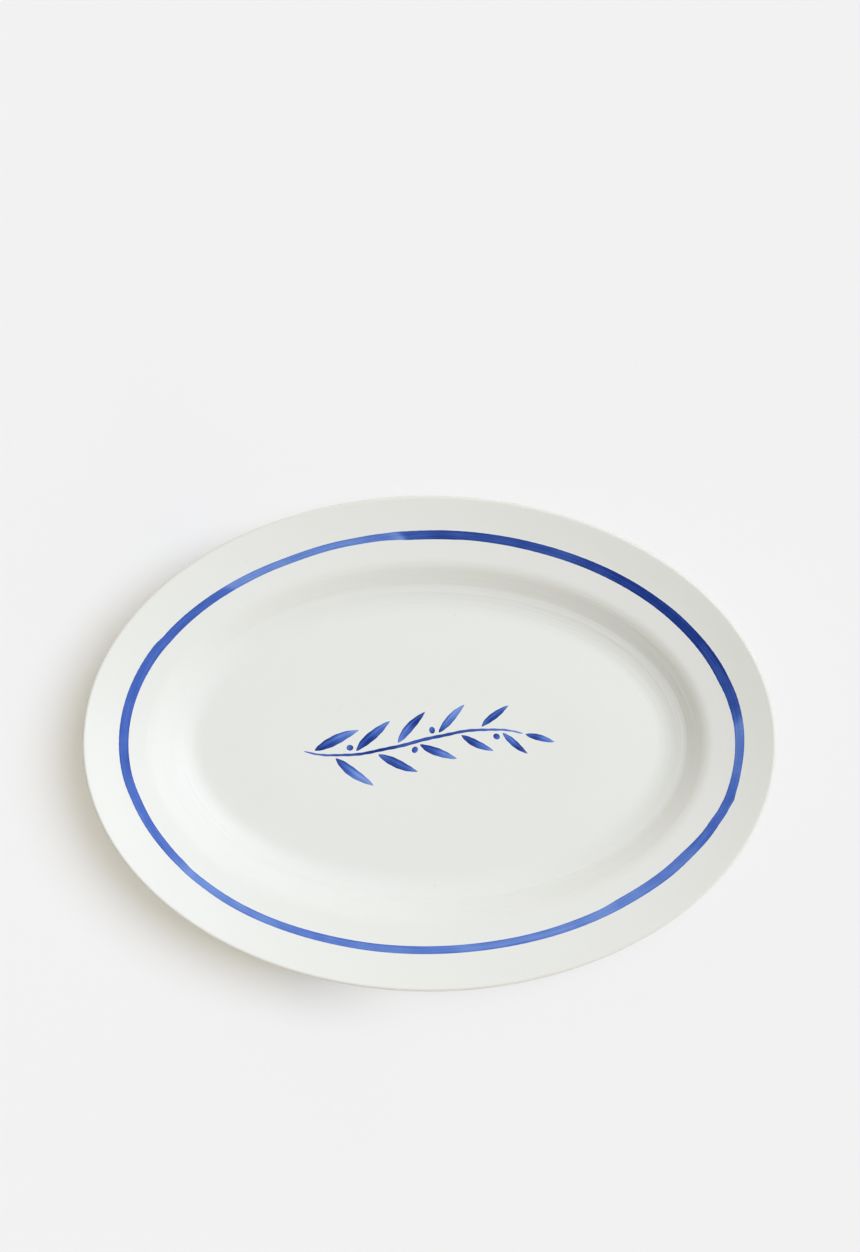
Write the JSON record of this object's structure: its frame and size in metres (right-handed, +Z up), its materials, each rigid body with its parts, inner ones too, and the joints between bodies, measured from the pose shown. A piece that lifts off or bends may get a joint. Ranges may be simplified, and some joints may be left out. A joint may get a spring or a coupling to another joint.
{
  "type": "oval serving plate",
  "caption": "Oval serving plate in white glazed stoneware with a wide sloping rim, a sunk well, a blue painted rim band, a painted sprig and a bare foot ring.",
  "frame": {"origin": "on the table plane, under the middle of the plate: the centre of the foot ring's bearing face", "axes": "+X along the plate's length, +Y across its width, +Z up out of the well"},
  "size_m": [0.35, 0.25, 0.03],
  "materials": {
    "fired_clay": "bare fired stoneware, matt, seen only on the foot ring's bearing edge",
    "white_glaze": "smooth glossy off-white glaze",
    "cobalt_blue": "hand-brushed cobalt blue under a glossy surface"
  },
  "bodies": {
    "root": {"clay_body": "fired_clay", "face_glaze": "white_glaze", "base_glaze": "white_glaze", "rim_band": "cobalt_blue", "sprig_stem": "cobalt_blue", "sprig_leaf_1": "cobalt_blue", "sprig_leaf_2": "cobalt_blue", "sprig_leaf_3": "cobalt_blue", "sprig_leaf_4": "cobalt_blue", "sprig_leaf_5": "cobalt_blue", "sprig_leaf_6": "cobalt_blue", "sprig_leaf_7": "cobalt_blue", "sprig_leaf_8": "cobalt_blue", "sprig_leaf_9": "cobalt_blue", "sprig_leaf_10": "cobalt_blue", "sprig_leaf_tip": "cobalt_blue", "sprig_berry_1": "cobalt_blue", "sprig_berry_2": "cobalt_blue", "sprig_berry_3": "cobalt_blue", "sprig_berry_4": "cobalt_blue"}
  },
  "joints": []
}
